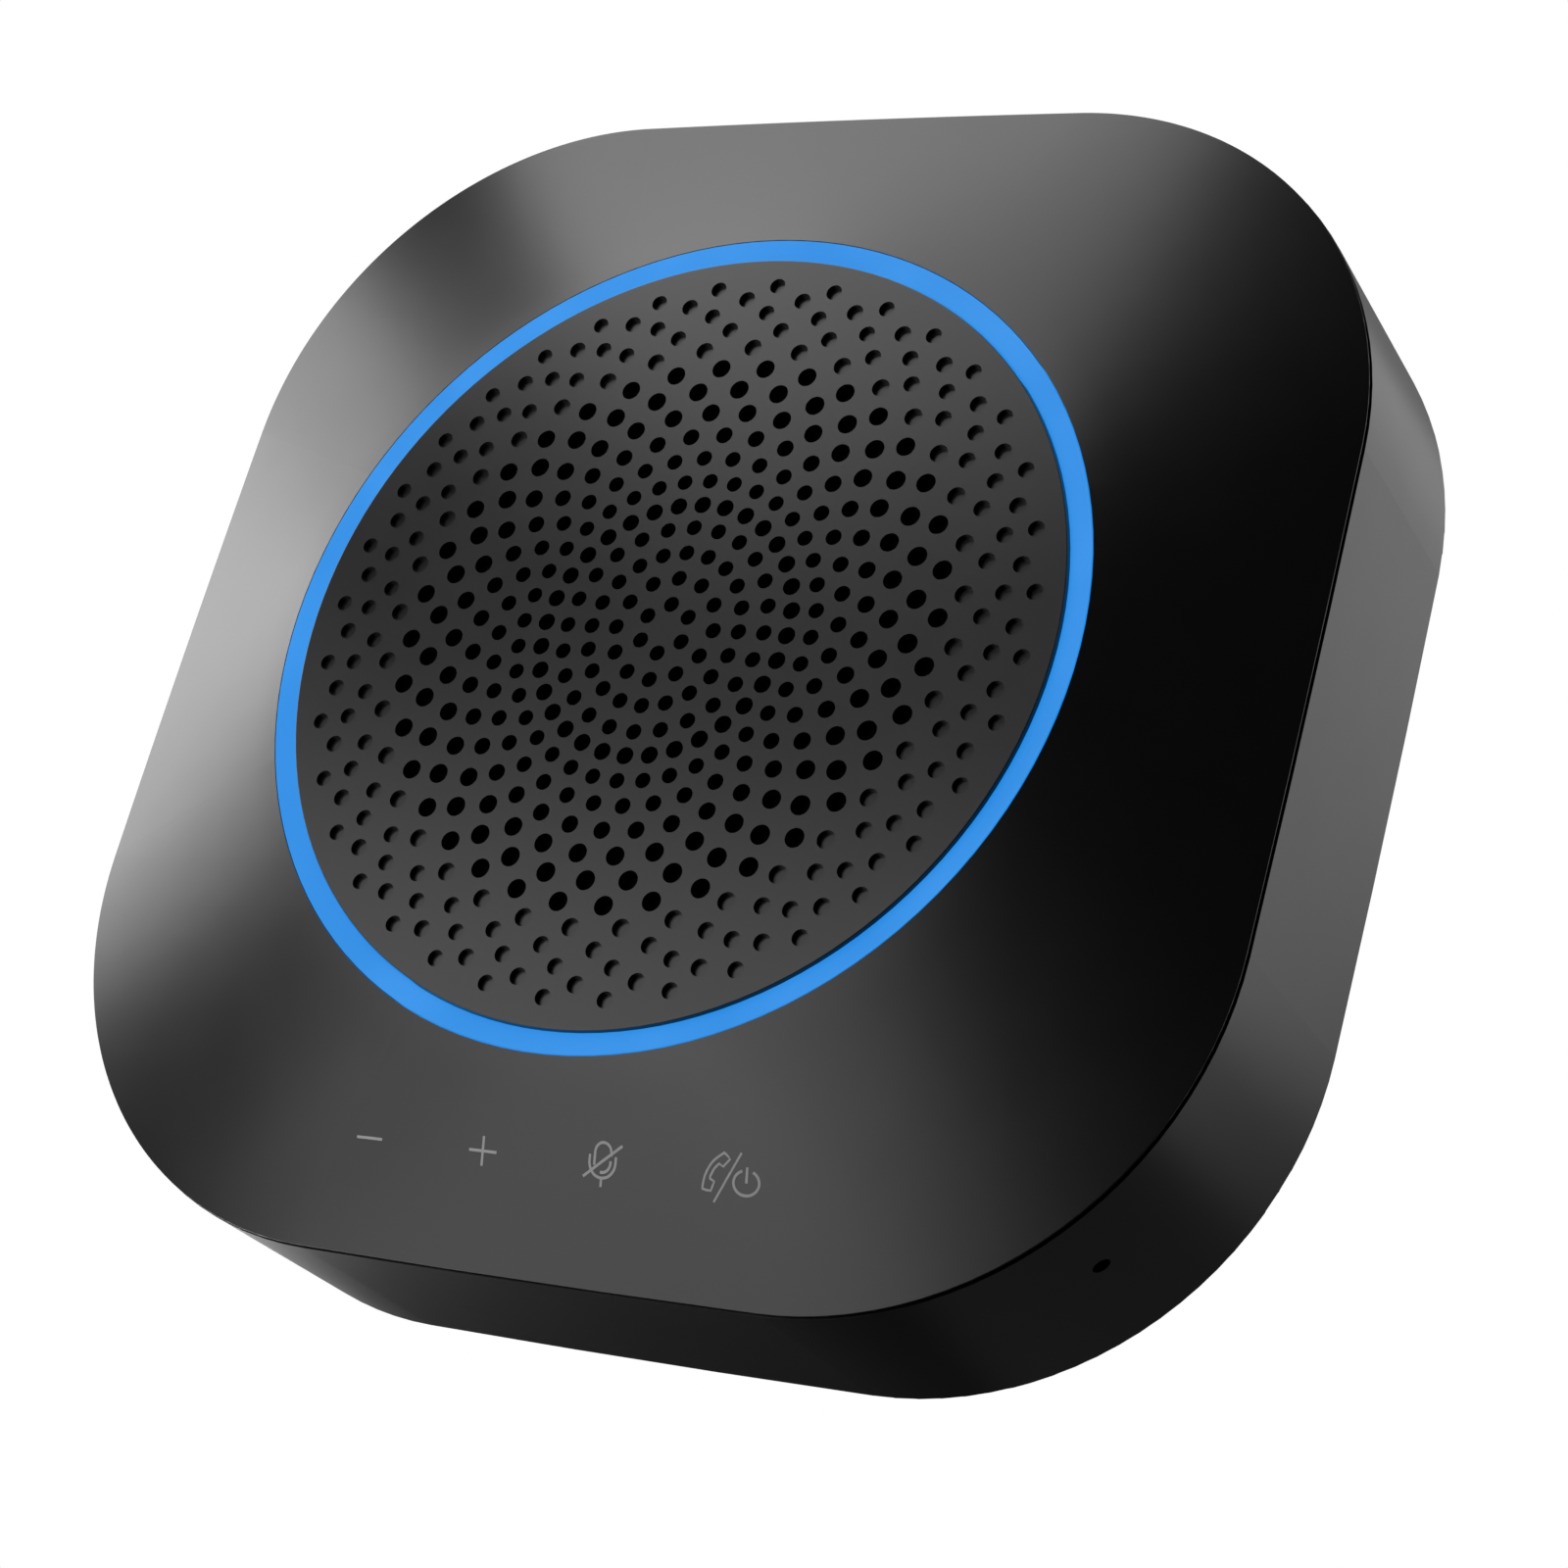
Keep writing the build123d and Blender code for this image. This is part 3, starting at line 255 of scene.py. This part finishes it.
def lit_blue(name):
    """Frosted light guide, lit from below and slightly uneven along its length."""
    finish = Finish(name, (0.02, 0.05, 0.09), 0.5, Specular_IOR_Level=0.15)
    cloud = finish.noise(14.0)
    ramp = finish.node("ShaderNodeMix", data_type="RGBA")
    ramp.inputs["A"].default_value = GLOW_DEEP
    ramp.inputs["B"].default_value = GLOW_PALE
    finish.link(finish.spread(cloud, 0.0, 1.0, 0.35, 0.65), ramp.inputs["Factor"])
    finish.link(ramp.outputs["Result"], finish.shader.inputs["Emission Color"])
    finish.shader.inputs["Emission Strength"].default_value = 1.0
    return finish.grain(0.25, 0.002)


def make_finishes():
    """A material for each of the record's slots, and the ink, by name."""
    made = [
        soften_crown(housing_plastic("cover_plastic")),
        housing_plastic("case_plastic"),
        housing_plastic("grille_plastic"),
        lit_blue("light_guide"),
        Finish("acoustic_cloth", (0.0015, 0.0015, 0.0015), 0.95, Specular_IOR_Level=0.1)
        .weave(0.5, 0.05),
        board("white_board", (0.62, 0.62, 0.58), (0.72, 0.70, 0.62)),
        board("green_board", (0.010, 0.115, 0.035), (0.03, 0.20, 0.06)),
        plain_plastic("led_body", (0.85, 0.80, 0.45), 0.25),
        metal("black_steel", (0.05, 0.05, 0.055), 0.42),
        metal("zinc_steel", (0.60, 0.61, 0.63), 0.32),
        plain_plastic("box_plastic", (0.02, 0.02, 0.02), 0.6),
        Finish("rubber", (0.012, 0.012, 0.012), 0.75)
        .grain(0.4, 0.03)
        .mottle(4.0, 0.08, 0.2),
        Finish("foam", (0.04, 0.04, 0.043), 0.95)
        .grain(0.5, 0.15, 5.0)
        .mottle(3.0, 0.03, 0.3),
        Finish("basket_steel", (0.03, 0.03, 0.03), 0.4, Metallic=0.3)
        .grain(0.5, 0.02)
        .mottle(5.0, 0.06, 0.15),
        metal("magnet_nickel", (0.75, 0.73, 0.69), 0.16),
        metal("former_aluminium", (0.8, 0.8, 0.82), 0.28),
        metal("copper_wire", (0.72, 0.30, 0.12), 0.3, 0.6),
        Finish("cone_paper", (0.02, 0.02, 0.02), 0.85)
        .grain(0.6, 0.05, 6.0)
        .mottle(2.0, 0.05, 0.3),
        Finish("spider_cloth", (0.55, 0.32, 0.08), 0.8).weave(0.8, 0.1),
        plain_plastic("wire_insulation", (0.02, 0.02, 0.02), 0.4),
        plain_plastic("red_wire", (0.45, 0.015, 0.01), 0.38),
        plain_plastic("chip_epoxy", (0.018, 0.018, 0.02), 0.55),
        metal("tin_plate", (0.66, 0.66, 0.64), 0.3),
        metal("capacitor_can", (0.7, 0.7, 0.72), 0.25),
        Finish("ferrite", (0.06, 0.06, 0.065), 0.7)
        .grain(0.2, 0.03, 5.0)
        .mottle(1.5, 0.1, 0.3),
        plain_plastic("socket_nylon", (0.72, 0.68, 0.55), 0.5),
        metal("socket_steel", (0.62, 0.62, 0.64), 0.26),
        plain_plastic("socket_tongue", (0.012, 0.012, 0.012), 0.4),
        plain_plastic("cell_wrap", (0.02, 0.08, 0.30), 0.28),
        plain_plastic("flex_polyimide", (0.42, 0.18, 0.02), 0.3),
        Finish("key_ink", (0.30, 0.30, 0.30), 0.6)
        .grain(0.1, 0.001)
        .mottle(2.0, 0.05, 0.04),
    ]
    return {finish.name: finish.material for finish in made}


finishes = make_finishes()
node_slots = {part["node"]: part["material_slot"] for part in record["subparts"]}
for name, node in nodes.items():
    node.data.materials.clear()
    node.data.materials.append(finishes[node_slots[name]])

# ---------------------------------------------------------------- printed key symbols

INK_WIDTH = 0.25 * MM
FINE_INK_WIDTH = INK_WIDTH * 0.85
# How far a stroke stands proud of the cover, at its middle and at its edges
INK_LIFT = 0.012 * MM
INK_EDGE_LIFT = INK_LIFT * 0.7
# A stroke runs on past its end points by this share of its width
STROKE_END = 0.3
CURVE_STEPS = 8
# Rays down to the cover start at this height
ABOVE_COVER = 0.1


def cover_below(tree, x, y):
    """The cover's surface point and normal straight below (x, y)."""
    point, normal, _, _ = tree.ray_cast(Vector((x, y, ABOVE_COVER)), Vector((0, 0, -1)))
    return point, normal


def arc(centre, radius_x, radius_y, start, end, steps):
    """Points along part of an ellipse, from one angle to another in degrees."""
    turns = [math.radians(start + (end - start) * step / steps) for step in range(steps + 1)]
    return [
        (centre[0] + radius_x * math.cos(turn), centre[1] + radius_y * math.sin(turn))
        for turn in turns
    ]


def curve_through(points):
    """A smooth line through a few points."""
    line = []
    ends = [points[0], *points, points[-1]]
    for a, b, c, d in zip(ends, ends[1:], ends[2:], ends[3:]):
        for step in range(CURVE_STEPS):
            t = step / CURVE_STEPS
            spot = []
            for p, q, r, s in zip(a, b, c, d):
                square = (2 * p - 5 * q + 4 * r - s) * t * t
                cube = (3 * q - p - 3 * r + s) * t ** 3
                spot.append(0.5 * (2 * q + (r - p) * t + square + cube))
            line.append(tuple(spot))
    return line + [points[-1]]


def ink_symbol(name, middle, lines, width=INK_WIDTH):
    """Strokes of ink laid on the cover: each line is points in millimetres from the middle."""
    tree = BVHTree.FromObject(nodes["top_cover"], bpy.context.evaluated_depsgraph_get())
    mesh = bmesh.new()
    for line in lines:
        flat = [Vector((middle[0] + x, middle[1] + y)) * MM for x, y in line]
        rails = []
        for index, spot in enumerate(flat):
            before = flat[max(index - 1, 0)]
            after = flat[min(index + 1, len(flat) - 1)]
            along = (after - before).normalized()
            across = Vector((-along.y, along.x)) * width / 2
            if index == 0:
                spot = spot - along * width * STROKE_END
            if index == len(flat) - 1:
                spot = spot + along * width * STROKE_END
            rung = []
            for side in (-1, 0, 1):
                edge = spot + across * side
                point, normal = cover_below(tree, edge.x, edge.y)
                lift = INK_LIFT if side == 0 else INK_EDGE_LIFT
                rung.append(mesh.verts.new(point + normal * lift))
            rails.append(rung)
        for first, second in zip(rails, rails[1:]):
            mesh.faces.new((first[0], second[0], second[1], first[1]))
            mesh.faces.new((first[1], second[1], second[2], first[2]))
    bmesh.ops.recalc_face_normals(mesh, faces=mesh.faces)
    for face in mesh.faces:
        face.smooth = True
    if sum(face.normal.z for face in mesh.faces) < 0:
        bmesh.ops.reverse_faces(mesh, faces=mesh.faces)
    data = bpy.data.meshes.new(name)
    mesh.to_mesh(data)
    mesh.free()
    data.materials.append(finishes["key_ink"])
    piece = bpy.data.objects.new(name, data)
    bpy.context.scene.collection.objects.link(piece)
    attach(piece, "housing")


# The keys run from left to right along the front slope
ink_symbol("key_volume_down", (-18.2, -52.2), [[(-1.4, 0), (0, 0), (1.4, 0)]])
ink_symbol(
    "key_volume_up",
    (-5.2, -52.15),
    [[(-1.45, 0), (0, 0), (1.45, 0)], [(0, -1.2), (0, 0), (0, 1.2)]],
)

# A microphone: the top and the foot of its capsule, its cradle, its stem and the bar across it
CAPSULE_R = 0.84
CRADLE_R = 1.36
CAPSULE_TOP = arc((0, 0.43), CAPSULE_R, CAPSULE_R, 180, 0, 20)
CRADLE = arc((0, -0.37), CRADLE_R, CRADLE_R, 180, 360, 30)
ink_symbol(
    "key_mute",
    (7.71, -51.4),
    [
        [(-CAPSULE_R, -0.62), *CAPSULE_TOP, (CAPSULE_R, 0.25)],
        arc((0, -0.41), CAPSULE_R, CAPSULE_R, 8, -96, 14),
        [(-CRADLE_R, 0.1), *CRADLE, (CRADLE_R, 0.1)],
        [(0.02, -1.8), (0.02, -2.1), (0.02, -2.4)],
        [(-1.85, -1.72), (0, -0.3), (1.85, 1.12)],
    ],
)

# A telephone handset, outlined once round from its top, then a slash and a power sign
HANDSET = curve_through([(-0.1, 1.9), (-1.1, 1.05), (-1.72, -0.13), (-1.88, -1.32)])
HANDSET += [(-1.45, -1.4), (-1.0, -1.41)]
HANDSET += [(-0.88, -1.0), (-0.75, -0.62), (-1.22, -0.4)]
HANDSET += curve_through([(-1.2, -0.2), (-0.9, 0.45), (-0.48, 0.93)])
HANDSET += [(-0.04, 0.74), (0.56, 1.43), (0.22, 1.72), (-0.1, 1.9)]
SLASH = [(-1.07, -2.15), (0, 0), (1.07, 2.15)]
ink_symbol("key_call", (19.97, -51.48), [HANDSET], FINE_INK_WIDTH)
ink_symbol("key_call_slash", (20.48, -51.6), [SLASH], FINE_INK_WIDTH)
ink_symbol(
    "key_power",
    (22.38, -51.85),
    [arc((0, 0), 1.27, 1.06, 62, -242, 40), [(-0.08, 1.25), (-0.04, 0.65), (0, 0.05)]],
)

# ---------------------------------------------------------------- floor and studio

# The floor's profile in metres from the middle out: distance, then height
SWEEP_LINE = [(1.2, -0.0001), (1.42, 0.06), (1.55, 0.2), (1.6, 0.42), (1.6, 2.0)]
SWEEP_SIDES = 48


def make_floor():
    """A white paper floor that turns up into a wall all round."""
    mesh = bmesh.new()
    rows = []
    for reach, height in SWEEP_LINE:
        row = []
        for side in range(SWEEP_SIDES):
            turn = 2 * math.pi * side / SWEEP_SIDES
            row.append(mesh.verts.new((reach * math.cos(turn), reach * math.sin(turn), height)))
        rows.append(row)
    mesh.faces.new(rows[0])
    for lower, upper in zip(rows, rows[1:]):
        for side in range(SWEEP_SIDES):
            after = (side + 1) % SWEEP_SIDES
            mesh.faces.new((lower[side], lower[after], upper[after], upper[side]))
    data = bpy.data.meshes.new("floor")
    mesh.to_mesh(data)
    mesh.free()
    floor = bpy.data.objects.new("floor", data)
    bpy.context.scene.collection.objects.link(floor)
    finish = Finish("floor_paper", (0.0, 0.0, 0.0), 1.0, Specular_IOR_Level=0.0)
    finish.shader.inputs["Emission Color"].default_value = (1, 1, 1, 1)
    finish.shader.inputs["Emission Strength"].default_value = 1.0
    data.materials.append(finish.material)
    floor.visible_glossy = False
    floor.visible_diffuse = False
    floor.visible_shadow = False


make_floor()

# The panels face this point, just under the top of the speakerphone
LIT_POINT = Vector((0, 0, 0.03))


def softbox(name, azimuth, elevation, width, height, distance, brightness):
    """A soft panel, sized and placed in metres. A brightness of 1 is the floor's white."""
    outward = direction(azimuth, elevation)
    data = bpy.data.lights.new(name, "AREA")
    data.shape = "RECTANGLE"
    data.size = width
    data.size_y = height
    data.energy = brightness * math.pi * width * height
    light = bpy.data.objects.new(name, data)
    bpy.context.scene.collection.objects.link(light)
    light.location = LIT_POINT + outward * distance
    light.rotation_mode = "QUATERNION"
    light.rotation_quaternion = (-outward).to_track_quat("-Z", "Y")
    light.visible_camera = False


softbox("left_box", 251, 7, 0.31, 0.46, 0.53, 3.2)
softbox("left_strip", 278, 5, 0.70, 0.215, 0.56, 1.45)
softbox("back_box", 201, 25, 0.138, 0.184, 0.183, 2.34)
softbox("back_corner_box", 216, 25, 0.092, 0.054, 0.15, 1.54)
softbox("overhead_box", 279, 62, 0.187, 0.247, 0.267, 2.0)
softbox("front_box", 331, 17, 0.125, 0.47, 0.191, 1.72)
softbox("right_low_box", 85, -35, 0.16, 0.16, 0.3, 0.83)
softbox("right_table_glow", 130, -19, 0.45, 0.70, 0.40, 0.78)
softbox("back_table_glow", 159, -53, 0.215, 0.18, 0.24, 0.23)
softbox("front_table_glow", 291, -30, 0.226, 0.164, 0.36, 5.0)
softbox("near_table_glow", 60, -50, 0.45, 0.45, 0.35, 0.05)

# A faint even light from all round, against the floor's white
AMBIENT = 0.02
world = bpy.data.worlds.new("studio")
bpy.context.scene.world = world
world.use_nodes = True
background = world.node_tree.nodes["Background"]
background.inputs["Color"].default_value = (1, 1, 1, 1)
background.inputs["Strength"].default_value = AMBIENT

bpy.context.scene.view_settings.view_transform = "Standard"
